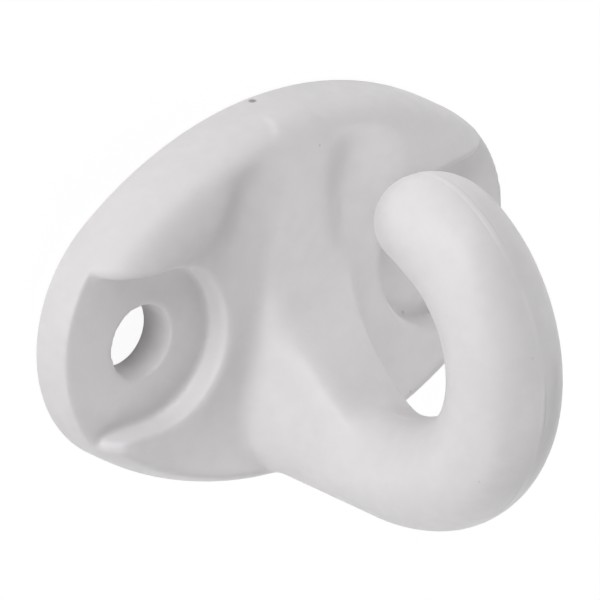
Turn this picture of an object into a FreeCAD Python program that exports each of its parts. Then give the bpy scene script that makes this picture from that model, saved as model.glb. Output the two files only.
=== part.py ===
import FreeCAD, Part
import math
import os
import Sketcher
from FreeCAD import Vector

# Deck hook moulded in one piece from white nylon.
# Frame: the flat back lies on Z = 0 and +Z points out of the deck.
# +X runs along the plate's long axis, through both screw holes.
# +Y is the side that the hook's mouth opens to.
# Origin: centre of the plate, on its back face.

NODE = "deck_hook"

SIZES = [
    # plate: a four-centre oval, with a raised rim round its upper half and a flat lower half
    ("plate_len", 39.4), ("plate_wid", 26.45), ("plate_end_r", 10.2), ("plate_thick", 5.6),
    ("side_up", 1.45), ("side_r", 6.1), ("rim_nose_r", 3.0), ("low_nose_r", 1.0),
    ("rim_wide", 8.6), ("dish_deep", 0.85), ("dish_cove_r", 12.0),
    # screw seats and screw holes
    ("hole_pitch", 25.7), ("hole_dia", 5.2), ("seat_wid", 11.8), ("seat_floor", 2.85),
    ("seat_edge_r", 0.5),
    # ridge: low rib from the top rim to the leg, wider towards its foot
    ("ridge_sunk", 0.1), ("ridge_long", 12.0), ("ridge_half", 0.75), ("ridge_flare", 1.1),
    ("ridge_rise", 2.0), ("ridge_edge_r", 0.5), ("ridge_end_r", 2.9), ("ridge_end_in", 0.1),
    # throat: concave sweep from the ridge's crown up the leg
    ("throat_start", 3.2), ("throat_low_r", 8.0), ("throat_low_deg", 47.0), ("throat_top_r", 60.0),
    ("throat_top_deg", 5.0),
    # hook bar: straight leg, a bend that swells to the bar's full width, two more bends and a drawn-out tip
    ("leg_back", 9.45), ("leg_top", 13.56), ("leg_dia", 7.5), ("bar_dia", 7.78),
    ("bend1_r", 13.3), ("bend1_deg", 25.0), ("bend2_r", 9.7), ("bend2_deg", 121.5),
    ("bend3_r", 4.6), ("bend3_deg", 16.0),
    ("tip_bend_r", 4.1), ("tip_bend_deg", 25.0), ("tip_mid_dia", 7.45), ("tip_end_dia", 6.1),
    ("tip_cap_up", 2.2),
    # foot: concave flare round the leg and along both sides of the ridge
    ("foot_rise", 9.4), ("foot_inset", 0.35), ("foot_sunk", 0.1),
    ("flare_wide", 3.05), ("flare_full", 2.0),
]

# heights of the foot's outlines above the plate's sunk middle, as shares of its rise
LEVELS = (0.0, 0.03, 0.08, 0.15, 0.25, 0.38, 0.55, 0.76, 1.0)


# expressions that several sketches share
FLOOR = "Sizes.plate_thick - Sizes.dish_deep"
END_C = "(Sizes.plate_len / 2 - Sizes.plate_end_r)"
SIDE_R = (f"(({END_C}^2 + (Sizes.plate_wid / 2)^2 - Sizes.plate_end_r^2)"
          " / (Sizes.plate_wid - 2 * Sizes.plate_end_r))")


def make_sheet(doc):
    sheet = doc.addObject("Spreadsheet::Sheet", "Sizes")
    for row, (alias, value) in enumerate(SIZES, start=1):
        sheet.set(f"A{row}", alias)
        sheet.set(f"B{row}", str(value))
        sheet.setAlias(f"B{row}", alias)
    doc.recompute()
    return sheet


def origin_plane(body, role):
    for feature in body.Origin.OriginFeatures:
        if feature.Role == role:
            return feature
    raise RuntimeError("no origin plane " + role)


def new_sketch(body, name, role):
    sketch = body.newObject("Sketcher::SketchObject", name)
    sketch.AttachmentSupport = (origin_plane(body, role), [""])
    sketch.MapMode = "FlatFace"
    return sketch


def lift(sketch, expression):
    """Moves a sketch along its plane's normal."""
    sketch.setExpression("AttachmentOffset.Base.z", expression)


def bind(sketch, name, expression, *constraint):
    """Adds a dimension whose value is an expression of the sheet's sizes."""
    index = sketch.addConstraint(Sketcher.Constraint(*constraint))
    sketch.renameConstraint(index, name)
    sketch.setExpression("Constraints." + name, expression)


def arc(cx, cy, radius, start, end):
    circle = Part.Circle(Vector(cx, cy, 0), Vector(0, 0, 1), radius)
    return Part.ArcOfCircle(circle, start, end)


def oval(sz):
    """Works out the plate's four-centre oval: both radii, both centres and where the arcs meet."""
    half_wid, end_r = sz["plate_wid"] / 2, sz["plate_end_r"]
    end_c = sz["plate_len"] / 2 - end_r
    side_r = (end_c ** 2 + half_wid ** 2 - end_r ** 2) / (2 * (half_wid - end_r))
    side_c = side_r - half_wid
    return end_r, end_c, side_r, side_c, math.atan2(side_c, end_c)


def draw_middle(sketch, sz):
    """Draws the plate's outline set in by the width of its rim."""
    end_r, end_c, side_r, side_c, turn = oval(sz)
    gap = sz["rim_wide"]
    right = sketch.addGeometry(arc(end_c, 0, end_r - gap, -turn, turn))
    top = sketch.addGeometry(arc(0, -side_c, side_r - gap, turn, math.pi - turn))
    left = sketch.addGeometry(arc(-end_c, 0, end_r - gap, math.pi - turn, math.pi + turn))
    low = sketch.addGeometry(arc(0, side_c, side_r - gap, math.pi + turn, 2 * math.pi - turn))
    for one, other in ((right, top), (top, left), (low, right)):
        sketch.addConstraint(Sketcher.Constraint("Tangent", one, 2, other, 1))
    sketch.addConstraint(Sketcher.Constraint("Vertical", left, 1, left, 2))
    sketch.addConstraint(Sketcher.Constraint("Horizontal", low, 1, low, 2))
    for one in (right, left):
        sketch.addConstraint(Sketcher.Constraint("PointOnObject", one, 3, -1))
    for one in (top, low):
        sketch.addConstraint(Sketcher.Constraint("PointOnObject", one, 3, -2))
    sketch.addConstraint(Sketcher.Constraint("Equal", top, low))
    bind(sketch, "end_r", "Sizes.plate_end_r - Sizes.rim_wide", "Radius", right, end_r - gap)
    bind(sketch, "end_right", END_C, "DistanceX", -1, 1, right, 3, end_c)
    bind(sketch, "end_left", END_C, "DistanceX", left, 3, -1, 1, end_c)
    bind(sketch, "side_r", SIDE_R + " - Sizes.rim_wide", "Radius", top, side_r - gap)


def draw_half(sketch, side, sz):
    """Draws the upper half of the plate's outline, side 1, or the lower half, side -1."""
    end_r, end_c, side_r, side_c, turn = oval(sz)
    if side > 0:
        right = sketch.addGeometry(arc(end_c, 0, end_r, 0, turn))
        long = sketch.addGeometry(arc(0, -side_c, side_r, turn, math.pi - turn))
        left = sketch.addGeometry(arc(-end_c, 0, end_r, math.pi - turn, math.pi))
        chain = (right, long, left)
    else:
        left = sketch.addGeometry(arc(-end_c, 0, end_r, math.pi, math.pi + turn))
        long = sketch.addGeometry(arc(0, side_c, side_r, math.pi + turn, 2 * math.pi - turn))
        right = sketch.addGeometry(arc(end_c, 0, end_r, -turn, 0))
        chain = (left, long, right)
    sketch.addConstraint(Sketcher.Constraint("Tangent", chain[0], 2, chain[1], 1))
    sketch.addConstraint(Sketcher.Constraint("Tangent", chain[1], 2, chain[2], 1))
    sketch.addConstraint(Sketcher.Constraint("PointOnObject", chain[0], 3, -1))
    sketch.addConstraint(Sketcher.Constraint("PointOnObject", chain[2], 3, -1))
    sketch.addConstraint(Sketcher.Constraint("PointOnObject", long, 3, -2))
    sketch.addConstraint(Sketcher.Constraint("PointOnObject", chain[0], 1, -1))
    sketch.addConstraint(Sketcher.Constraint("PointOnObject", chain[2], 2, -1))
    sketch.addConstraint(Sketcher.Constraint("Equal", right, left))
    bind(sketch, "end_r", "Sizes.plate_end_r", "Radius", right, end_r)
    bind(sketch, "end_c", END_C, "DistanceX", -1, 1, right, 3, end_c)
    bind(sketch, "side_r", SIDE_R, "Radius", long, side_r)


def draw_rim(sketch, top, nose_name, sz):
    """Draws the rim's section at the plate's right end, on the XZ plane.

    The rim is as high as the first size in top, less the others. Where that is above
    the plate's middle, a crest and a cove lead down to it, and otherwise a flat does.
    """
    edge, height = sz["plate_len"] / 2, sz[top[0]] - sum(sz[name] for name in top[1:])
    low, side, nose, floor = sz["side_up"], sz["side_r"], sz[nose_name], sz["plate_thick"] - sz["dish_deep"]
    rise = height - low - nose
    inn = side - math.sqrt((side - nose) ** 2 - rise ** 2)
    meet = math.asin(rise / (side - nose))
    inner = edge - sz["rim_wide"]
    wall = sketch.addGeometry(Part.LineSegment(Vector(edge, 0, 0), Vector(edge, low, 0)))
    big = sketch.addGeometry(arc(edge - side, low, side, 0, meet))
    small = sketch.addGeometry(arc(edge - inn, height - nose, nose, meet, math.pi / 2))
    if height > floor + 0.001:
        cove, swing, drop = sz["dish_cove_r"], inner - (edge - inn), height - floor
        crown = (swing ** 2 + drop ** 2) / (2 * drop) - cove
        slope = math.asin(-swing / (crown + cove))
        crest = sketch.addGeometry(arc(edge - inn, height - crown, crown, math.pi / 2, math.pi / 2 + slope))
        last = sketch.addGeometry(arc(inner, floor + cove, cove, 1.5 * math.pi, 1.5 * math.pi + slope))
        sketch.addConstraint(Sketcher.Constraint("Tangent", small, 2, crest, 1))
        sketch.addConstraint(Sketcher.Constraint("Tangent", crest, 2, last, 2))
        sketch.addConstraint(Sketcher.Constraint("Vertical", last, 3, last, 1))
        bind(sketch, "cove_r", "Sizes.dish_cove_r", "Radius", last, cove)
        inner_end = 1
    else:
        last = sketch.addGeometry(Part.LineSegment(Vector(edge - inn, floor, 0), Vector(inner, floor, 0)))
        sketch.addConstraint(Sketcher.Constraint("Tangent", small, 2, last, 1))
        inner_end = 2
    back = sketch.addGeometry(Part.LineSegment(Vector(inner, floor, 0), Vector(inner, 0, 0)))
    base = sketch.addGeometry(Part.LineSegment(Vector(inner, 0, 0), Vector(edge, 0, 0)))
    add = sketch.addConstraint
    add(Sketcher.Constraint("Tangent", wall, 2, big, 1))
    add(Sketcher.Constraint("Tangent", big, 2, small, 1))
    add(Sketcher.Constraint("Coincident", last, inner_end, back, 1))
    add(Sketcher.Constraint("Coincident", back, 2, base, 1))
    add(Sketcher.Constraint("Coincident", base, 2, wall, 1))
    add(Sketcher.Constraint("Vertical", wall))
    add(Sketcher.Constraint("Vertical", back))
    add(Sketcher.Constraint("Horizontal", base))
    add(Sketcher.Constraint("PointOnObject", wall, 1, -1))
    add(Sketcher.Constraint("Vertical", small, 3, small, 2))
    bind(sketch, "edge", "Sizes.plate_len / 2", "DistanceX", -1, 1, wall, 1, edge)
    bind(sketch, "low", "Sizes.side_up", "DistanceY", wall, 1, wall, 2, low)
    bind(sketch, "side_r", "Sizes.side_r", "Radius", big, side)
    bind(sketch, "nose_r", "Sizes." + nose_name, "Radius", small, nose)
    bind(sketch, "top", " - ".join("Sizes." + name for name in top), "DistanceY", wall, 1, small, 2, height)
    bind(sketch, "wide", "Sizes.rim_wide", "DistanceX", base, 1, base, 2, sz["rim_wide"])
    if height > floor + 0.001:
        bind(sketch, "floor", FLOOR, "DistanceY", back, 2, back, 1, floor)


def share(height, rise, full):
    """Superellipse that falls from 1 at the foot of a rise to 0 at its top."""
    left = max(0.0, 1 - height / rise)
    return 1 - (1 - left ** full) ** (1 / full)


def share_text(level, rise):
    left = f"max(0; 1 - {level} * Sizes.foot_rise / Sizes.{rise})"
    return f"(1 - (1 - {left}^Sizes.flare_full)^(1 / Sizes.flare_full))"


def draw_foot_level(sketch, level, sz):
    """Draws an arc that rests on the leg's back, two sides and an arc at the ridge's top end."""
    height = level * sz["foot_rise"]
    heel = sz["leg_back"] + sz["leg_dia"] / 2 - sz["foot_inset"]
    spread = share(height, sz["foot_rise"], sz["flare_full"])
    foot = sz["leg_dia"] / 2 - sz["foot_inset"] + sz["flare_wide"] * spread
    nose = sz["ridge_half"] + sz["ridge_flare"] * share(height, sz["ridge_rise"], sz["flare_full"])
    foot_c, nose_c = foot - heel, sz["ridge_long"]
    lean = math.asin((foot - nose) / (nose_c - foot_c))
    side = Vector(math.cos(lean), math.sin(lean), 0)
    other = Vector(-side.x, side.y, 0)
    low, top = Vector(0, foot_c, 0), Vector(0, nose_c, 0)
    foot_arc = sketch.addGeometry(arc(0, foot_c, foot, math.pi - lean, 2 * math.pi + lean))
    right = sketch.addGeometry(Part.LineSegment(low + side * foot, top + side * nose))
    nose_arc = sketch.addGeometry(arc(0, nose_c, nose, lean, math.pi - lean))
    left = sketch.addGeometry(Part.LineSegment(top + other * nose, low + other * foot))
    for one, start, another, end in (
        (foot_arc, 2, right, 1), (right, 2, nose_arc, 1), (nose_arc, 2, left, 1), (left, 2, foot_arc, 1),
    ):
        sketch.addConstraint(Sketcher.Constraint("Tangent", one, start, another, end))
    sketch.addConstraint(Sketcher.Constraint("PointOnObject", foot_arc, 3, -2))
    sketch.addConstraint(Sketcher.Constraint("PointOnObject", nose_arc, 3, -2))
    heel_text = "(Sizes.leg_back + Sizes.leg_dia / 2 - Sizes.foot_inset)"
    foot_text = ("(Sizes.leg_dia / 2 - Sizes.foot_inset + Sizes.flare_wide * "
                 + share_text(level, "foot_rise") + ")")
    nose_text = "Sizes.ridge_half + Sizes.ridge_flare * " + share_text(level, "ridge_rise")
    bind(sketch, "foot_r", foot_text, "Radius", foot_arc, foot)
    bind(sketch, "nose_r", nose_text, "Radius", nose_arc, nose)
    bind(sketch, "apart", f"Sizes.ridge_long + {heel_text} - {foot_text}",
         "DistanceY", foot_arc, 3, nose_arc, 3, nose_c - foot_c)
    bind(sketch, "nose_c", "Sizes.ridge_long", "DistanceY", -1, 1, nose_arc, 3, nose_c)


def make_foot(body, sz):
    """Makes the foot: a low block sunk in the plate and the flare that stands on it."""
    sketches = []
    for number, level in enumerate(LEVELS):
        sketch = new_sketch(body, f"foot_level_{number}", "XY_Plane")
        draw_foot_level(sketch, level, sz)
        lift(sketch, f"{FLOOR} - Sizes.foot_sunk + {level} * Sizes.foot_rise")
        sketches.append(sketch)
    block = body.newObject("PartDesign::Pad", "foot_block")
    block.Profile = (sketches[0], [""])
    block.Reversed = True
    block.setExpression("Length", f"{FLOOR} - Sizes.foot_sunk - Sizes.seat_floor / 2")
    foot = body.newObject("PartDesign::AdditiveLoft", "foot_flare")
    foot.Profile = (sketches[0], [""])
    foot.Sections = [(one, [""]) for one in sketches[1:]]


def draw_crest(sketch, sz):
    """Draws what is cut away above the ridge and the throat, on the YZ plane."""
    crown = sz["plate_thick"] - sz["ridge_sunk"]
    end_y, end_r = sz["plate_wid"] / 2 - sz["ridge_end_in"], sz["ridge_end_r"]
    low_t, top_t = math.radians(sz["throat_low_deg"]), math.radians(sz["throat_top_deg"])
    low_r, top_r, start = sz["throat_low_r"], sz["throat_top_r"], sz["throat_start"]
    out_y, out_z = sz["plate_wid"], 2 * sz["leg_top"]
    p1 = Vector(end_y, 0, 0)
    p2 = Vector(end_y, crown - end_r, 0)
    low_c, top_c = Vector(start, crown + low_r, 0), Vector(0, 0, 0)
    turn = Vector(-math.sin(low_t), -math.cos(low_t), 0)
    p5 = low_c + turn * low_r
    top_c = p5 - turn * top_r
    both = low_t + top_t
    p6 = top_c + Vector(-math.sin(both), -math.cos(both), 0) * top_r
    p7 = Vector(p6.x - (out_z - p6.y) / math.tan(both), out_z, 0)
    wall = sketch.addGeometry(Part.LineSegment(p1, p2))
    end = sketch.addGeometry(arc(end_y - end_r, crown - end_r, end_r, 0, math.pi / 2))
    top = sketch.addGeometry(Part.LineSegment(Vector(end_y - end_r, crown, 0), Vector(start, crown, 0)))
    low = sketch.addGeometry(arc(low_c.x, low_c.y, low_r, 1.5 * math.pi - low_t, 1.5 * math.pi))
    high = sketch.addGeometry(arc(top_c.x, top_c.y, top_r, 1.5 * math.pi - both, 1.5 * math.pi - low_t))
    up = sketch.addGeometry(Part.LineSegment(p6, p7))
    over = sketch.addGeometry(Part.LineSegment(p7, Vector(out_y, out_z, 0)))
    down = sketch.addGeometry(Part.LineSegment(Vector(out_y, out_z, 0), Vector(out_y, 0, 0)))
    base = sketch.addGeometry(Part.LineSegment(Vector(out_y, 0, 0), p1))
    add = sketch.addConstraint
    add(Sketcher.Constraint("Tangent", wall, 2, end, 1))
    add(Sketcher.Constraint("Tangent", end, 2, top, 1))
    add(Sketcher.Constraint("Tangent", top, 2, low, 2))
    add(Sketcher.Constraint("Tangent", low, 1, high, 2))
    add(Sketcher.Constraint("Tangent", high, 1, up, 1))
    for one, other in ((up, over), (over, down), (down, base), (base, wall)):
        add(Sketcher.Constraint("Coincident", one, 2, other, 1))
    for line in (top, over, base):
        add(Sketcher.Constraint("Horizontal", line))
    for line in (wall, down):
        add(Sketcher.Constraint("Vertical", line))
    add(Sketcher.Constraint("PointOnObject", wall, 1, -1))
    bind(sketch, "end_y", "Sizes.plate_wid / 2 - Sizes.ridge_end_in", "DistanceX", -1, 1, wall, 1, end_y)
    bind(sketch, "end_r", "Sizes.ridge_end_r", "Radius", end, end_r)
    bind(sketch, "crown", "Sizes.plate_thick - Sizes.ridge_sunk", "DistanceY", -1, 1, top, 1, crown)
    bind(sketch, "start", "Sizes.throat_start", "DistanceX", -1, 1, top, 2, start)
    bind(sketch, "low_r", "Sizes.throat_low_r", "Radius", low, low_r)
    bind(sketch, "low_turn", "Sizes.throat_low_deg * 1 deg", "Angle", low, low_t)
    bind(sketch, "top_r", "Sizes.throat_top_r", "Radius", high, top_r)
    bind(sketch, "top_turn", "Sizes.throat_top_deg * 1 deg", "Angle", high, top_t)
    bind(sketch, "out_y", "Sizes.plate_wid", "DistanceX", -1, 1, down, 2, out_y)
    bind(sketch, "out_z", "2 * Sizes.leg_top", "DistanceY", -1, 1, over, 2, out_z)


def cut_crest(doc, body, sz):
    sketch = new_sketch(body, "crest_profile", "YZ_Plane")
    draw_crest(sketch, sz)
    cut = body.newObject("PartDesign::Pocket", "crest")
    cut.Profile = (sketch, [""])
    cut.Midplane = True
    cut.setExpression("Length", "Sizes.plate_len")
    doc.recompute()
    low = sz["plate_thick"] - sz["dish_deep"] - sz["foot_sunk"]
    edges = []
    for number, edge in enumerate(cut.Shape.Edges, start=1):
        height = middle(edge).z
        if on_crest(cut.Shape, edge) and low + sz["foot_sunk"] / 2 < height < low + sz["foot_rise"] - 0.001:
            edges.append(f"Edge{number}")
    soft = body.newObject("PartDesign::Fillet", "crest_edges")
    soft.Base = (cut, edges)
    soft.setExpression("Radius", "Sizes.ridge_edge_r")


def middle(edge):
    return edge.valueAt((edge.FirstParameter + edge.LastParameter) / 2)


def on_crest(shape, edge):
    """Tells an edge between a crest face, straight along X, and a side of the foot."""
    straight, side = False, False
    for face in shape.ancestorsOfType(edge, Part.Face):
        normal = face.normalAt(*face.Surface.parameter(middle(edge)))
        if abs(normal.x) < 0.001:
            straight = True
        elif abs(normal.x) > 0.1:
            side = True
    return straight and side


def make_plate(body, sz):
    """Makes the plate: a flat middle, a raised rim along its upper half and a flat one along its lower."""
    inner = new_sketch(body, "plate_middle", "XY_Plane")
    draw_middle(inner, sz)
    core = body.newObject("PartDesign::Pad", "plate_core")
    core.Profile = (inner, [""])
    core.setExpression("Length", FLOOR)
    for name, side, top, nose in (
        ("upper", 1, ["plate_thick"], "rim_nose_r"),
        ("lower", -1, ["plate_thick", "dish_deep"], "low_nose_r"),
    ):
        outline = new_sketch(body, name + "_outline", "XY_Plane")
        draw_half(outline, side, sz)
        section = new_sketch(body, name + "_rim_section", "XZ_Plane")
        draw_rim(section, top, nose, sz)
        rim = body.newObject("PartDesign::AdditivePipe", name + "_rim")
        rim.Profile = (section, [""])
        rim.Spine = (outline, ["Edge1", "Edge2", "Edge3"])


def draw_path(sketch, sz):
    """Draws the hook bar's centre line: straight leg, then three bends in a row."""
    bends = ["bend1", "bend2", "bend3", "tip_bend", "tip_bend"]
    start = Vector(-sz["leg_back"], sz["seat_floor"] / 2, 0)
    end = Vector(-sz["leg_back"], sz["leg_top"], 0)
    leg = sketch.addGeometry(Part.LineSegment(start, end))
    sketch.addConstraint(Sketcher.Constraint("Vertical", leg))
    last, heading = leg, math.pi / 2
    for number, name in enumerate(bends, start=1):
        turn, radius = math.radians(sz[name + "_deg"]), sz[name + "_r"]
        centre = end + Vector(math.sin(heading), -math.cos(heading), 0) * radius
        first = heading + math.pi / 2
        bend = sketch.addGeometry(arc(centre.x, centre.y, radius, first - turn, first))
        sketch.addConstraint(Sketcher.Constraint("Tangent", last, 2 if number == 1 else 1, bend, 2))
        bind(sketch, f"radius_{number}", f"Sizes.{name}_r", "Radius", bend, radius)
        bind(sketch, f"turn_{number}", f"Sizes.{name}_deg * 1 deg", "Angle", bend, turn)
        heading -= turn
        end = centre + Vector(math.cos(first - turn), math.sin(first - turn), 0) * radius
        last = bend
    bind(sketch, "back", "Sizes.leg_back", "DistanceX", leg, 1, -1, 1, sz["leg_back"])
    bind(sketch, "root", "Sizes.seat_floor / 2", "DistanceY", -1, 1, leg, 1, start.y)
    bind(sketch, "top", "Sizes.leg_top", "DistanceY", -1, 1, leg, 2, sz["leg_top"])


def make_bar(body, sz):
    """Makes the bar up to its tip: the leg, the bend that swells and the long bend over the mouth."""
    path = new_sketch(body, "bar_path", "YZ_Plane")
    draw_path(path, sz)
    root = new_sketch(body, "leg_circle", "XY_Plane")
    circle = root.addGeometry(Part.Circle(Vector(0, -sz["leg_back"], 0), Vector(0, 0, 1), sz["leg_dia"] / 2))
    root.addConstraint(Sketcher.Constraint("PointOnObject", circle, 3, -2))
    bind(root, "back", "Sizes.leg_back", "DistanceY", circle, 3, -1, 1, sz["leg_back"])
    bind(root, "dia", "Sizes.leg_dia", "Diameter", circle, sz["leg_dia"])
    lift(root, "Sizes.seat_floor / 2")
    leg = body.newObject("PartDesign::Pad", "leg")
    leg.Profile = (root, [""])
    leg.setExpression("Length", "Sizes.leg_top - Sizes.seat_floor / 2")
    leg_ring = draw_ring(body, path, "Edge1", "leg_ring", "leg_dia", sz)
    leg_ring.MapPathParameter = 1.0
    bar_ring = draw_ring(body, path, "Edge2", "bar_ring", "bar_dia", sz)
    shoulder = body.newObject("PartDesign::AdditivePipe", "shoulder")
    shoulder.Profile = (leg_ring, [""])
    shoulder.Spine = (path, ["Edge2"])
    shoulder.Sections = [(bar_ring, [""])]
    shoulder.Transformation = "Multisection"
    bend = body.newObject("PartDesign::AdditivePipe", "long_bend")
    bend.Profile = (bar_ring, [""])
    bend.Spine = (path, ["Edge3", "Edge4"])
    return path, draw_ring(body, path, "Edge4", "end_ring", "bar_dia", sz)


def draw_ring(body, path, edge, name, dia, sz):
    """Draws a section circle square to the centre line, at the far end of a bend."""
    sketch = body.newObject("Sketcher::SketchObject", name)
    sketch.AttachmentSupport = (path, [edge])
    sketch.MapMode = "NormalToEdge"
    sketch.MapPathParameter = 0.0
    ring = sketch.addGeometry(Part.Circle(Vector(0, 0, 0), Vector(0, 0, 1), sz[dia] / 2))
    sketch.addConstraint(Sketcher.Constraint("Coincident", ring, 3, -1, 1))
    bind(sketch, "dia", f"Sizes.{dia}", "Diameter", ring, sz[dia])
    return sketch


def make_tip(body, path, start, sz):
    """Tapers the bar's end over two short bends and closes it with a round cap."""
    taper = body.newObject("PartDesign::AdditivePipe", "tip_taper")
    middle_ring = draw_ring(body, path, "Edge5", "tip_mid_ring", "tip_mid_dia", sz)
    last_ring = draw_ring(body, path, "Edge6", "tip_end_ring", "tip_end_dia", sz)
    taper.Profile = (start, [""])
    taper.Spine = (path, ["Edge5", "Edge6"])
    taper.Sections = [(middle_ring, [""]), (last_ring, [""])]
    taper.Transformation = "Multisection"
    half, up = sz["tip_end_dia"] / 2, sz["tip_cap_up"]
    radius = (half ** 2 + up ** 2) / (2 * up)
    sketch = body.newObject("Sketcher::SketchObject", "tip_section")
    sketch.AttachmentSupport = (path, ["Edge6"])
    sketch.MapMode = "FrenetTN"
    sketch.MapPathParameter = 0.0
    cap = sketch.addGeometry(arc(radius - up, 0, radius, math.pi - math.asin(half / radius), math.pi))
    axis = sketch.addGeometry(Part.LineSegment(Vector(-up, 0, 0), Vector(0, 0, 0)))
    face = sketch.addGeometry(Part.LineSegment(Vector(0, 0, 0), Vector(0, half, 0)))
    sketch.addConstraint(Sketcher.Constraint("Coincident", cap, 2, axis, 1))
    sketch.addConstraint(Sketcher.Constraint("Coincident", axis, 2, face, 1))
    sketch.addConstraint(Sketcher.Constraint("Coincident", face, 2, cap, 1))
    sketch.addConstraint(Sketcher.Constraint("Coincident", axis, 2, -1, 1))
    sketch.addConstraint(Sketcher.Constraint("Horizontal", axis))
    sketch.addConstraint(Sketcher.Constraint("Vertical", face))
    sketch.addConstraint(Sketcher.Constraint("PointOnObject", cap, 3, -1))
    bind(sketch, "half", "Sizes.tip_end_dia / 2", "DistanceY", face, 1, face, 2, half)
    bind(sketch, "up", "Sizes.tip_cap_up", "DistanceX", axis, 1, axis, 2, up)
    tip = body.newObject("PartDesign::Revolution", "tip")
    tip.Profile = (sketch, [""])
    tip.ReferenceAxis = (sketch, ["H_Axis"])
    tip.Angle = 360


def draw_seat(sketch, side, sz):
    """Draws a seat: a half circle round the screw hole, open to the plate's end."""
    centre, half, out = side * sz["hole_pitch"] / 2, sz["seat_wid"] / 2, side * sz["plate_len"]
    start = math.pi / 2 if side > 0 else -math.pi / 2
    round_end = sketch.addGeometry(arc(centre, 0, half, start, start + math.pi))
    one = sketch.addGeometry(Part.LineSegment(Vector(centre, -side * half, 0), Vector(out, -side * half, 0)))
    end = sketch.addGeometry(Part.LineSegment(Vector(out, -side * half, 0), Vector(out, side * half, 0)))
    other = sketch.addGeometry(Part.LineSegment(Vector(out, side * half, 0), Vector(centre, side * half, 0)))
    sketch.addConstraint(Sketcher.Constraint("Tangent", round_end, 2, one, 1))
    sketch.addConstraint(Sketcher.Constraint("Coincident", one, 2, end, 1))
    sketch.addConstraint(Sketcher.Constraint("Coincident", end, 2, other, 1))
    sketch.addConstraint(Sketcher.Constraint("Tangent", other, 2, round_end, 1))
    sketch.addConstraint(Sketcher.Constraint("Horizontal", one))
    sketch.addConstraint(Sketcher.Constraint("Horizontal", other))
    sketch.addConstraint(Sketcher.Constraint("Vertical", end))
    sketch.addConstraint(Sketcher.Constraint("PointOnObject", round_end, 3, -1))
    name = "right" if side > 0 else "left"
    bind(sketch, name + "_r", "Sizes.seat_wid / 2", "Radius", round_end, half)
    first, last = ((-1, 1), (round_end, 3)) if side > 0 else ((round_end, 3), (-1, 1))
    bind(sketch, name + "_centre", "Sizes.hole_pitch / 2", "DistanceX", *first, *last, sz["hole_pitch"] / 2)
    first, last = ((-1, 1), (one, 2)) if side > 0 else ((one, 2), (-1, 1))
    bind(sketch, name + "_out", "Sizes.plate_len", "DistanceX", *first, *last, sz["plate_len"])


def make_holes(body, sz):
    holes = new_sketch(body, "hole_circles", "XY_Plane")
    across = sz["hole_pitch"] / 2
    one = holes.addGeometry(Part.Circle(Vector(across, 0, 0), Vector(0, 0, 1), sz["hole_dia"] / 2))
    other = holes.addGeometry(Part.Circle(Vector(-across, 0, 0), Vector(0, 0, 1), sz["hole_dia"] / 2))
    holes.addConstraint(Sketcher.Constraint("Equal", one, other))
    holes.addConstraint(Sketcher.Constraint("PointOnObject", one, 3, -1))
    holes.addConstraint(Sketcher.Constraint("Symmetric", one, 3, other, 3, -2))
    bind(holes, "dia", "Sizes.hole_dia", "Diameter", one, sz["hole_dia"])
    bind(holes, "pitch", "Sizes.hole_pitch", "DistanceX", other, 3, one, 3, sz["hole_pitch"])
    hole = body.newObject("PartDesign::Pocket", "screw_holes")
    hole.Profile = (holes, [""])
    hole.Reversed = True
    hole.setExpression("Length", "Sizes.plate_thick")


def seat_edges(shape, sz):
    """Finds the upper edges of the seats' walls."""
    found = []
    for number, edge in enumerate(shape.Edges, start=1):
        point = middle(edge)
        faces = shape.ancestorsOfType(edge, Part.Face)
        normals = [face.normalAt(*face.Surface.parameter(point)) for face in faces]
        walls = [normal for normal in normals if abs(normal.z) < 0.001]
        out = abs(point.x) - sz["hole_pitch"] / 2
        on_wall = abs(math.hypot(min(out, 0.0), point.y) - sz["seat_wid"] / 2) < 0.01
        if on_wall and len(walls) == 1 and point.z > sz["seat_floor"] + 0.001:
            found.append(f"Edge{number}")
    return found


def make_seats(doc, body, sz):
    seats = new_sketch(body, "seat_outlines", "XY_Plane")
    draw_seat(seats, 1, sz)
    draw_seat(seats, -1, sz)
    lift(seats, "Sizes.seat_floor")
    seat = body.newObject("PartDesign::Pocket", "screw_seats")
    seat.Profile = (seats, [""])
    seat.Reversed = True
    seat.setExpression("Length", "Sizes.plate_thick")
    doc.recompute()
    edges = body.newObject("PartDesign::Fillet", "seat_edges")
    edges.Base = (seat, seat_edges(seat.Shape, sz))
    edges.setExpression("Radius", "Sizes.seat_edge_r")


def check(doc, body):
    for obj in doc.Objects:
        if "Invalid" in obj.State or "Error" in obj.State:
            raise RuntimeError(f"{obj.Name} failed: {obj.State}")
    if body.Shape.isNull() or not body.Shape.isValid():
        raise RuntimeError("the body's shape is not valid")
    if len(body.Shape.Solids) != 1:
        raise RuntimeError("the body is not one solid")


def main():
    doc = FreeCAD.newDocument("deck_hook")
    make_sheet(doc)
    sz = dict(SIZES)
    body = doc.addObject("PartDesign::Body", NODE)
    body.Label = NODE
    body.Placement = FreeCAD.Placement()
    doc.recompute()
    make_foot(body, sz)
    doc.recompute()
    cut_crest(doc, body, sz)
    doc.recompute()
    make_plate(body, sz)
    doc.recompute()
    path, end = make_bar(body, sz)
    doc.recompute()
    make_tip(body, path, end, sz)
    doc.recompute()
    make_seats(doc, body, sz)
    doc.recompute()
    make_holes(body, sz)
    doc.recompute()
    check(doc, body)
    os.makedirs("parts", exist_ok=True)
    body.Shape.exportStep(f"parts/{NODE}.step")


main()
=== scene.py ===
import bpy
from mathutils import Matrix, Vector


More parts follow.
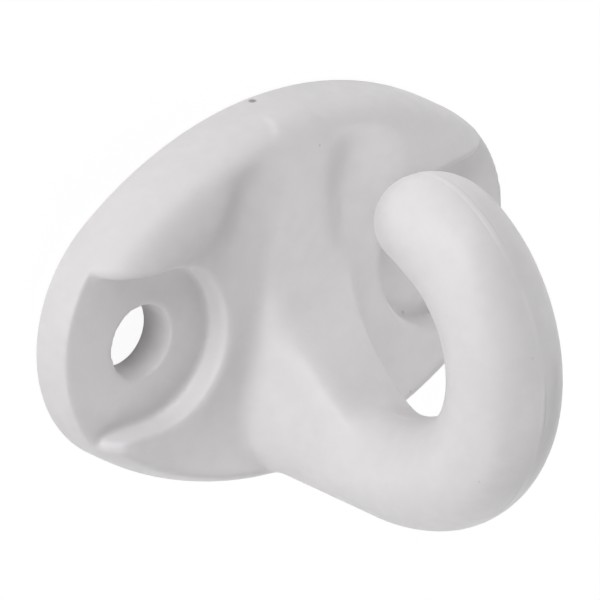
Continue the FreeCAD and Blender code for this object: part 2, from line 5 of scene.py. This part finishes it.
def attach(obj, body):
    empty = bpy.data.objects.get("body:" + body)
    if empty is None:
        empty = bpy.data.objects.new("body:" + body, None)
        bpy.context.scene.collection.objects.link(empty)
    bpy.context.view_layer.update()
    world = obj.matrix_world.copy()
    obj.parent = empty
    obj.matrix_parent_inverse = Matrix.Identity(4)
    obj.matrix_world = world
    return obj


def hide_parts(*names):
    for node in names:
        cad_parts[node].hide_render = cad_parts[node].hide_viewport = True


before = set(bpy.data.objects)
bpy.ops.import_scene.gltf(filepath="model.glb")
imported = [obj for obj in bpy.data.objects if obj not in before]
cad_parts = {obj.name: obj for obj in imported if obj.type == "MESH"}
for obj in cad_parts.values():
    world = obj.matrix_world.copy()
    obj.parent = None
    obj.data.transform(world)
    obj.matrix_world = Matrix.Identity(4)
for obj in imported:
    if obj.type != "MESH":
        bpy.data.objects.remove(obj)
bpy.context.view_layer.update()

MM = 0.001
WHITE = (1.0, 1.0, 1.0, 1.0)

# the camera stands a metre off and looks at the middle of the picture, with lens and sensor in mm
CAMERA_RIGHT = Vector((0.7535, -0.0185, 0.6571))
CAMERA_UP = Vector((0.2820, 0.9121, -0.2976))
CAMERA_BACK = Vector((-0.5939, 0.4096, 0.6925))
CAMERA_FAR = 1000 * MM
MIDDLE_RIGHT = 2.770 * MM
MIDDLE_UP = -1.665 * MM
LENS = 888.7
SENSOR_WIDTH = 36.0

# soft square lamps round the object: the direction each shines from, in the object's axes, and its watts
LAMP_FAR = 600 * MM
LAMP_SIZE = 350 * MM
LAMPS = [
    ("key_lamp", (-0.68, 0.68, 0.26), 1.50),
    ("left_lamp", (-0.97, 0.0, 0.26), 0.62),
    ("top_lamp", (0.0, 0.97, 0.26), 1.06),
    ("right_lamp", (0.97, 0.0, 0.26), 0.57),
    ("low_left_lamp", (-0.68, -0.68, 0.26), 0.95),
    ("front_right_lamp", (0.65, -0.27, 0.71), 0.69),
    ("front_low_lamp", (0.27, -0.65, 0.71), 0.82),
]
SKY_STRENGTH = 0.02

# floor: its size, how far it lies under the back, its own paint, and the white that is seen and its share
FLOOR_SIZE = 4000 * MM
FLOOR_DROP = 0.1 * MM
FLOOR_PAINT = (0.8, 0.8, 0.8, 1.0)
FLOOR_GLOW = 1.1
FLOOR_WHITE_SHARE = 0.85

# nylon: its colours, and how rough its dull and its clear clouds are
NYLON_DULL = (0.825, 0.806, 0.818, 1.0)
NYLON_CLEAR = (0.850, 0.831, 0.843, 1.0)
# painted highlight: the parting line's colour, lighter than the nylon, stands in for light on its raised
# edge
FLASH_HIGHLIGHT_COLOUR = (0.880, 0.861, 0.873, 1.0)
# dark colour of the specks in the moulding, also used for the painted shade of the nick
SPECK_AND_SHADE_COLOUR = (0.34, 0.33, 0.30, 1.0)
DULL_ROUGH = 0.48
CLEAR_ROUGH = 0.40

# clouds and grain: scale to a metre and detail of each, and the values between which dull turns to clear
BROAD_CLOUDS = (150.0, 2.0)
FINE_CLOUDS = (900.0, 3.0)
GRAIN = (1800.0, 4.0)
CLOUD_TURN = (0.75, 1.25)

# relief: its depth, and how strong it is in the grain and on the parting line
RELIEF_DEPTH = 0.1 * MM
GRAIN_STRENGTH = 0.12
FLASH_STRENGTH = 0.5

# faint specks in the moulding, and painted shade where a nick is in its upper edge: place and radius in mm,
# and strength, which is full from the centre to the core's share of the radius
SPOT_CORE = 0.4
SPECKS_AND_NICK_SHADE = [
    ((1.0, 11.0, 5.4), 0.13, 0.30),
    ((10.3, -5.0, 2.85), 0.19, 0.35),
    ((9.3, -10.0, 4.7), 0.15, 0.35),
    ((2.5, -6.4, 12.5), 0.16, 0.60),
    ((-3.0, -5.8, 25.5), 0.13, 0.25),
    ((-0.6, 3.4, 28.3), 0.12, 0.18),
    # painted shade: this last spot is the shade inside a nick in the upper back edge, painted dark with no
    # dent made
    ((-0.7, 13.2, 0.5), 0.36, 1.0),
]

# parting line of the mould, along the middle of the hook, raised and painted lighter as its highlight: the
# distances from it at which it is full and gone, the heights between which it sets in, and the values of
# the broad clouds between which it does
FLASH_HALF = 0.10 * MM
FLASH_FADE = 0.30 * MM
FLASH_FROM = 12.0 * MM
FLASH_FULL = 15.0 * MM
FLASH_TURN = (0.35, 0.6)

# grid that the moulding is drawn on, how near each other two points are one, and how high the back's own
# points lie at most and how much deeper they are put until the back is cut
GRID = 0.2 * MM
SAME_PLACE = 0.001 * MM
BACK_LAYER = 0.01 * MM
BACK_MORE = 1.0 * MM

# smoothing: its share in each round, the rounds of each part, and the angle in radians from which an edge
# is shaded sharp
SMOOTH_SHARE = 0.5
EDGE_ROUNDS = 4
RIDGE_ROUNDS = 50
THROAT_ROUNDS = 160
TIP_ROUNDS = 80
CREASE_ANGLE = 0.8

# where each smoothed part sets in, and the mouth, which is left out of the ridge's and the throat's, in mm:
# none at the first value and full at the second
RIDGE_SIDES = (7.0, 5.0)
RIDGE_LEG_END = (-10.5, -8.5)
RIDGE_RIM_END = (12.8, 11.5)
RIDGE_BOTTOM = (2.0, 3.0)
RIDGE_TOP = (17.0, 14.0)
THROAT_BOTTOM = (5.0, 7.0)
MOUTH_BOTTOM = (7.0, 9.0)
MOUTH_SIDE = (0.0, 3.0)
TIP_SIDE = (1.0, 3.0)
TIP_BOTTOM = (14.0, 16.0)
TIP_TOP = (24.0, 22.0)

# bowl beside the ridge, in mm: the base's oval, how far in from it the bowl starts, its height there, its
# fall and width, the levels and the least upward facing of the points pressed, and where it fades in
BASE_HALF_LONG = 19.7
BASE_HALF_WIDE = 13.25
BOWL_FROM = 1.4
BOWL_TOP = 5.10
BOWL_FALL = 0.35
BOWL_WIDE = 3.2
BOWL_LEVELS = (3.0, 6.5)
BOWL_FACING = 0.3
BOWL_RIDGE_SIDE = (1.1, 4.3)
BOWL_SEAT_SIDE = (8.5, 5.0)
BOWL_LOW_END = (0.0, 4.0)

# colour sockets of a Mix node
MIX_FIRST = 6
MIX_SECOND = 7
MIX_RESULT = 2


def new_material(name):
    material = bpy.data.materials.new(name)
    material.use_nodes = True
    material.node_tree.nodes.clear()
    return material


def add_node(tree, kind, place, **values):
    node = tree.nodes.new(kind)
    node.location = place
    for name, value in values.items():
        setattr(node, name, value)
    return node


def link(tree, source, out, target, socket):
    tree.links.new(source.outputs[out], target.inputs[socket])


def add_math(tree, operation, place, first, second):
    """Adds a math node. Each input is a number or a node with the name of its output."""
    node = add_node(tree, "ShaderNodeMath", place, operation=operation)
    for number, value in enumerate((first, second)):
        if isinstance(value, tuple):
            link(tree, *value, node, number)
        else:
            node.inputs[number].default_value = value
    return node


def add_ramp(tree, place, source, low, high, start=0.0, end=1.0):
    """Adds a smooth step of a node's output, from start at low to end at high."""
    node = add_node(tree, "ShaderNodeMapRange", place, interpolation_type="SMOOTHSTEP")
    node.inputs["From Min"].default_value = low
    node.inputs["From Max"].default_value = high
    node.inputs["To Min"].default_value = start
    node.inputs["To Max"].default_value = end
    link(tree, *source, node, "Value")
    return node


def add_noise(tree, place, where, scale, detail):
    node = add_node(tree, "ShaderNodeTexNoise", place)
    node.inputs["Scale"].default_value = scale
    node.inputs["Detail"].default_value = detail
    link(tree, where, "Object", node, "Vector")
    return node


def add_colours(tree, place, share, first, second):
    """Adds a mix of two colours. The first may be a node's output."""
    node = add_node(tree, "ShaderNodeMix", place, data_type="RGBA")
    link(tree, *share, node, 0)
    if isinstance(first[0], bpy.types.Node):
        link(tree, *first, node, MIX_FIRST)
    else:
        node.inputs[MIX_FIRST].default_value = first
    node.inputs[MIX_SECOND].default_value = second
    return node


def add_bump(tree, place, strength, source, out):
    node = add_node(tree, "ShaderNodeBump", place)
    node.inputs["Strength"].default_value = strength
    node.inputs["Distance"].default_value = RELIEF_DEPTH
    link(tree, source, out, node, "Height")
    return node


def make_spot_group():
    """Group that has its strength within a radius of a centre and fades out at its edge."""
    group = bpy.data.node_groups.new("dark_spot", "ShaderNodeTree")
    group.interface.new_socket("Place", in_out="INPUT", socket_type="NodeSocketVector")
    group.interface.new_socket("Centre", in_out="INPUT", socket_type="NodeSocketVector")
    group.interface.new_socket("Radius", in_out="INPUT", socket_type="NodeSocketFloat")
    group.interface.new_socket("Strength", in_out="INPUT", socket_type="NodeSocketFloat")
    group.interface.new_socket("Mask", in_out="OUTPUT", socket_type="NodeSocketFloat")
    inside = add_node(group, "NodeGroupInput", (-600, 0))
    away = add_node(group, "ShaderNodeVectorMath", (-400, 0), operation="DISTANCE")
    link(group, inside, "Place", away, 0)
    link(group, inside, "Centre", away, 1)
    part = add_math(group, "DIVIDE", (-200, 0), (away, "Value"), (inside, "Radius"))
    full = add_ramp(group, (0, 0), (part, "Value"), 1.0, SPOT_CORE)
    mask = add_math(group, "MULTIPLY", (200, 0), (full, "Result"), (inside, "Strength"))
    result = add_node(group, "NodeGroupOutput", (400, 0))
    link(group, mask, "Value", result, "Mask")
    return group


def add_specks_and_nick_shade(tree, where):
    """Adds one group for each of the specks and for the spot of painted shade, and returns the strongest of
    their masks.
    """
    group = make_spot_group()
    dark = None
    for number, (centre, radius, strength) in enumerate(SPECKS_AND_NICK_SHADE):
        dark_spot = add_node(tree, "ShaderNodeGroup", (-900, -200 * number), node_tree=group)
        link(tree, where, "Object", dark_spot, "Place")
        dark_spot.inputs["Centre"].default_value = Vector(centre) * MM
        dark_spot.inputs["Radius"].default_value = radius * MM
        dark_spot.inputs["Strength"].default_value = strength
        if dark is None:
            dark = (dark_spot, "Mask")
        else:
            dark = (add_math(tree, "MAXIMUM", (-650, -200 * number), dark, (dark_spot, "Mask")), "Value")
    return dark


def make_nylon():
    """Moulded white nylon: cloudy, satin, with a fine grain, a few dark specks, a raised parting line
    painted lighter as its highlight, and painted shade in a nick.
    """
    material = new_material("white_nylon")
    tree = material.node_tree
    out = add_node(tree, "ShaderNodeOutputMaterial", (1400, 0))
    shader = add_node(tree, "ShaderNodeBsdfPrincipled", (1100, 0))
    link(tree, shader, "BSDF", out, "Surface")
    where = add_node(tree, "ShaderNodeTexCoord", (-1400, 0))
    axes = add_node(tree, "ShaderNodeSeparateXYZ", (-1200, 300))
    link(tree, where, "Object", axes, "Vector")
    across = add_math(tree, "ABSOLUTE", (-1000, 300), (axes, "X"), 0.0)

    broad = add_noise(tree, (-600, 900), where, *BROAD_CLOUDS)
    fine = add_noise(tree, (-600, 650), where, *FINE_CLOUDS)
    both = add_math(tree, "ADD", (-400, 800), (broad, "Fac"), (fine, "Fac"))
    cloud = add_ramp(tree, (-200, 800), (both, "Value"), *CLOUD_TURN)
    base = add_colours(tree, (0, 800), (cloud, "Result"), NYLON_DULL, NYLON_CLEAR)

    line = add_ramp(tree, (-600, 400), (across, "Value"), FLASH_FADE, FLASH_HALF)
    above = add_ramp(tree, (-600, 150), (axes, "Z"), FLASH_FROM, FLASH_FULL)
    broken = add_ramp(tree, (-400, 550), (broad, "Fac"), *FLASH_TURN)
    flash_and_highlight = add_math(tree, "MULTIPLY", (-200, 400), (line, "Result"), (above, "Result"))
    flash_and_highlight = add_math(tree, "MULTIPLY", (0, 400), (flash_and_highlight, "Value"), (broken, "Result"))
    # painted highlight: along the parting line the colour turns lighter; the bump below gives its real
    # raised edge
    lined = add_colours(tree, (200, 700), (flash_and_highlight, "Value"), (base, MIX_RESULT), FLASH_HIGHLIGHT_COLOUR)

    dark = add_specks_and_nick_shade(tree, where)
    # the specks' dark colour, and the painted shade of the nick, go in here
    marked = add_colours(tree, (500, 600), dark, (lined, MIX_RESULT), SPECK_AND_SHADE_COLOUR)
    link(tree, marked, MIX_RESULT, shader, "Base Color")

    gloss = add_ramp(tree, (500, 200), (cloud, "Result"), 0.0, 1.0, DULL_ROUGH, CLEAR_ROUGH)
    link(tree, gloss, "Result", shader, "Roughness")

    grain = add_noise(tree, (200, -600), where, *GRAIN)
    rough = add_bump(tree, (500, -300), GRAIN_STRENGTH, grain, "Fac")
    raised = add_bump(tree, (800, -300), FLASH_STRENGTH, flash_and_highlight, "Value")
    link(tree, rough, "Normal", raised, "Normal")
    link(tree, raised, "Normal", shader, "Normal")
    return material


def make_white_floor():
    """Pale floor that the camera sees as white, with a share of its own paint for the soft shadow."""
    material = new_material("pale_floor")
    tree = material.node_tree
    out = add_node(tree, "ShaderNodeOutputMaterial", (600, 0))
    mix = add_node(tree, "ShaderNodeMixShader", (400, 0))
    paint = add_node(tree, "ShaderNodeBsdfDiffuse", (0, 100))
    paint.inputs["Color"].default_value = FLOOR_PAINT
    glow = add_node(tree, "ShaderNodeEmission", (0, -100))
    glow.inputs["Color"].default_value = WHITE
    glow.inputs["Strength"].default_value = FLOOR_GLOW
    path = add_node(tree, "ShaderNodeLightPath", (-600, 300))
    seen = add_math(tree, "MAXIMUM", (-400, 300), (path, "Is Camera Ray"), (path, "Is Glossy Ray"))
    seen = add_math(tree, "MAXIMUM", (-200, 300), (seen, "Value"), (path, "Is Transmission Ray"))
    share = add_math(tree, "MULTIPLY", (0, 300), (seen, "Value"), FLOOR_WHITE_SHARE)
    link(tree, share, "Value", mix, "Fac")
    link(tree, paint, "BSDF", mix, 1)
    link(tree, glow, "Emission", mix, 2)
    link(tree, mix, "Shader", out, "Surface")
    return material


def ease(value, none, full):
    """Smooth step from 0 at none to 1 at full."""
    share = min(max((value - none) / (full - none), 0.0), 1.0)
    return share * share * (3.0 - 2.0 * share)


def near_ridge(x, y, z):
    """1 on the ridge, the throat and the front of the leg, and 0 in the mouth and on the tip."""
    reach = ease(abs(x), *RIDGE_SIDES) * ease(y, *RIDGE_LEG_END) * ease(y, *RIDGE_RIM_END)
    mouth = ease(z, *MOUTH_BOTTOM) * ease(y, *MOUTH_SIDE)
    return reach * ease(z, *RIDGE_BOTTOM) * ease(z, *RIDGE_TOP) * (1.0 - mouth)


def near_throat(x, y, z):
    """The upper part of the same, from the foot of the throat on."""
    return near_ridge(x, y, z) * ease(z, *THROAT_BOTTOM)


def near_tip(x, y, z):
    """1 where the tip leaves the long bend of the hook."""
    return ease(y, *TIP_SIDE) * ease(z, *TIP_BOTTOM) * ease(z, *TIP_TOP)


def weigh(piece, name, near):
    """Adds a vertex group with the weights that a function of the place in mm gives."""
    group = piece.vertex_groups.new(name=name)
    for vertex in piece.data.vertices:
        weight = near(*(vertex.co / MM))
        if weight > 0.0:
            group.add([vertex.index], weight, "REPLACE")


def add_smooth(piece, rounds, group=""):
    smooth = piece.modifiers.new("smooth", "SMOOTH")
    smooth.factor = SMOOTH_SHARE
    smooth.iterations = rounds
    smooth.vertex_group = group
    bpy.ops.object.modifier_apply(modifier=smooth.name)


def press_bowl(piece):
    """Presses the bowl up to the rim's crest, which leaves the ridge standing on to the rim."""
    lowest, highest = BOWL_LEVELS
    pressed = []
    for vertex in piece.data.vertices:
        x, y, z = vertex.co / MM
        if vertex.normal.z < BOWL_FACING or y < BOWL_LOW_END[0] or not lowest < z < highest:
            continue
        edge = BASE_HALF_WIDE * (1.0 - (x / BASE_HALF_LONG) ** 2) ** 0.5 - y
        to_go = 1.0 - min(max((edge - BOWL_FROM) / BOWL_WIDE, 0.0), 1.0)
        floor = BOWL_TOP - BOWL_FALL * (1.0 - to_go * to_go)
        share = ease(abs(x), *BOWL_RIDGE_SIDE) * ease(abs(x), *BOWL_SEAT_SIDE) * ease(y, *BOWL_LOW_END)
        if z > floor and edge > BOWL_FROM:
            pressed.append((vertex, (floor - z) * share * MM))
    for vertex, move in pressed:
        vertex.co.z += move


def edit_all(piece):
    """Opens the piece in edit mode with all of it selected."""
    bpy.ops.object.select_all(action="DESELECT")
    piece.select_set(True)
    bpy.context.view_layer.objects.active = piece
    bpy.ops.object.mode_set(mode="EDIT")
    bpy.ops.mesh.select_all(action="SELECT")


def draw_on_grid(piece):
    """Merges the solid's triangles, puts its back deeper for the later cut, and redraws it on the grid."""
    edit_all(piece)
    bpy.ops.mesh.remove_doubles(threshold=SAME_PLACE)
    bpy.ops.object.mode_set(mode="OBJECT")
    for vertex in piece.data.vertices:
        if vertex.co.z < BACK_LAYER:
            vertex.co.z -= BACK_MORE
    grid = piece.modifiers.new("grid", "REMESH")
    grid.mode = "VOXEL"
    grid.voxel_size = GRID
    bpy.ops.object.modifier_apply(modifier=grid.name)


def cut_back(piece):
    """Cuts the back flat at its own level, which gives it a clean edge."""
    edit_all(piece)
    bpy.ops.mesh.bisect(plane_co=(0, 0, 0), plane_no=(0, 0, 1), use_fill=True, clear_inner=True,
                        threshold=SAME_PLACE)
    bpy.ops.mesh.select_all(action="SELECT")
    bpy.ops.mesh.quads_convert_to_tris()
    bpy.ops.object.mode_set(mode="OBJECT")


def make_moulding(material):
    """Copy of the CAD solid whose edges, ridge and throat run into each other as moulded."""
    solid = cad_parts["deck_hook"]
    piece = bpy.data.objects.new("moulded_hook", solid.data.copy())
    bpy.context.scene.collection.objects.link(piece)
    draw_on_grid(piece)
    add_smooth(piece, EDGE_ROUNDS)
    press_bowl(piece)
    weigh(piece, "ridge", near_ridge)
    weigh(piece, "throat", near_throat)
    weigh(piece, "tip", near_tip)
    add_smooth(piece, RIDGE_ROUNDS, "ridge")
    add_smooth(piece, THROAT_ROUNDS, "throat")
    add_smooth(piece, TIP_ROUNDS, "tip")
    piece.vertex_groups.clear()
    cut_back(piece)
    bpy.ops.object.shade_smooth_by_angle(angle=CREASE_ANGLE)
    piece.data.materials.clear()
    piece.data.materials.append(material)
    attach(piece, "root")
    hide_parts("deck_hook")


def make_floor():
    bpy.ops.object.select_all(action="DESELECT")
    bpy.ops.mesh.primitive_plane_add(size=FLOOR_SIZE, location=(0, 0, -FLOOR_DROP))
    floor = bpy.context.object
    floor.name = "floor"
    floor.data.materials.append(make_white_floor())


def make_camera():
    bpy.ops.object.camera_add()
    camera = bpy.context.object
    camera.name = "camera"
    camera.data.lens = LENS
    camera.data.sensor_width = SENSOR_WIDTH
    place = CAMERA_BACK.normalized() * CAMERA_FAR
    middle = CAMERA_RIGHT * MIDDLE_RIGHT + CAMERA_UP * MIDDLE_UP
    back = (place - middle).normalized()
    right = (CAMERA_RIGHT - back * CAMERA_RIGHT.dot(back)).normalized()
    up = back.cross(right)
    turn = Matrix((right, up, back)).transposed()
    camera.matrix_world = Matrix.Translation(place) @ turn.to_4x4()
    bpy.context.scene.camera = camera


def make_lights():
    for name, towards, power in LAMPS:
        way = Vector(towards).normalized()
        bpy.ops.object.light_add(type="AREA", location=way * LAMP_FAR)
        lamp = bpy.context.object
        lamp.name = name
        lamp.data.shape = "SQUARE"
        lamp.data.size = LAMP_SIZE
        lamp.data.energy = power
        lamp.rotation_euler = way.to_track_quat("Z", "Y").to_euler()
    world = bpy.data.worlds.new("studio")
    world.use_nodes = True
    tree = world.node_tree
    tree.nodes.clear()
    out = add_node(tree, "ShaderNodeOutputWorld", (400, 0))
    sky = add_node(tree, "ShaderNodeBackground", (100, 0))
    sky.inputs["Color"].default_value = WHITE
    sky.inputs["Strength"].default_value = SKY_STRENGTH
    link(tree, sky, "Background", out, "Surface")
    bpy.context.scene.world = world


make_camera()
make_lights()
make_floor()
nylon = make_nylon()
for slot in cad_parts["deck_hook"].material_slots:
    slot.material = nylon
make_moulding(nylon)
bpy.context.scene.view_settings.view_transform = "Standard"
